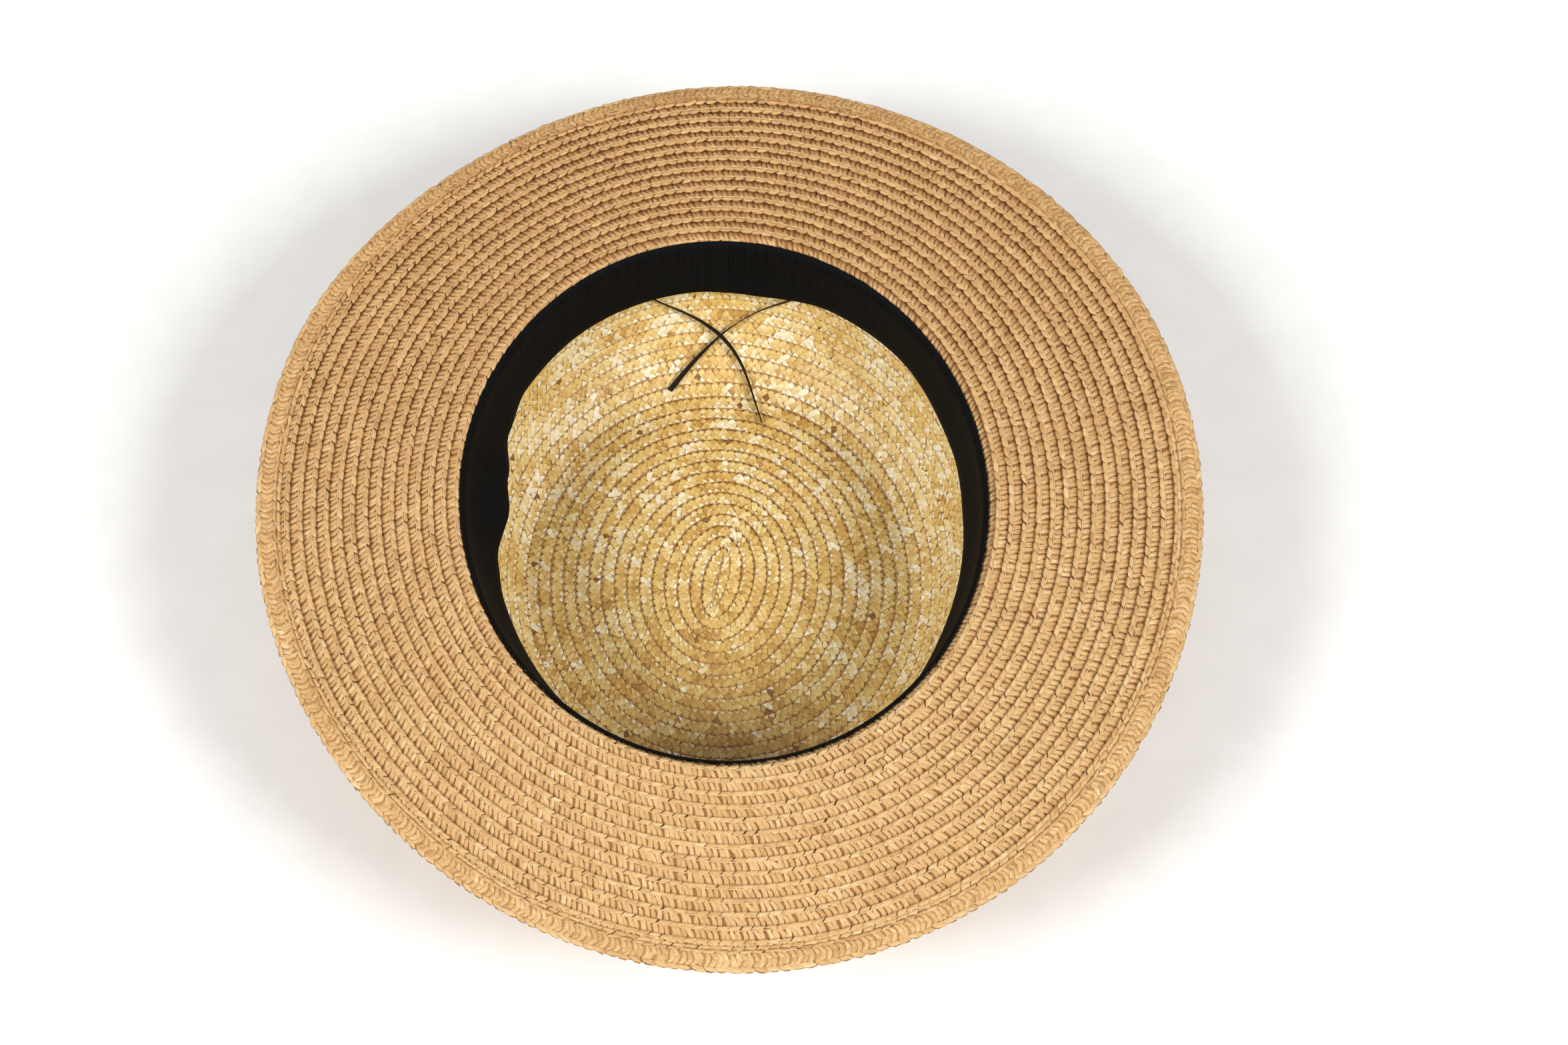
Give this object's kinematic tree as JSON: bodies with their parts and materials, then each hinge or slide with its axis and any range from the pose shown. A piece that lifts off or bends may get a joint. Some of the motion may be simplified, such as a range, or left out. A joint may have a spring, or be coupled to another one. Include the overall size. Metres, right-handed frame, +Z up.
{
  "type": "boater hat",
  "caption": "Straw hat lying on its flat crown, with a wide nearly flat brim of sewn braid, a ribbed ribbon sweatband inside and loose tape ends; worn on the head as a sun hat.",
  "frame": {"origin": "on the surface that the crown's tip lies on, under the middle of the brim", "axes": "+Z up through the open side of the hat, +Y towards the back of the hat where the tape ends are, +X to the right in the picture"},
  "size_m": [0.304, 0.3271, 0.0635],
  "materials": {
    "straw": "plaited natural straw with a light gloss",
    "paper_braid": "sewn tan paper braid",
    "ribbon": "black ribbed ribbon",
    "size_tape": "narrow dark woven tape"
  },
  "bodies": {
    "root": {"crown": "straw", "brim": "paper_braid", "sweatband": "ribbon", "size_tape_left": "size_tape", "size_tape_right": "size_tape"}
  },
  "joints": []
}
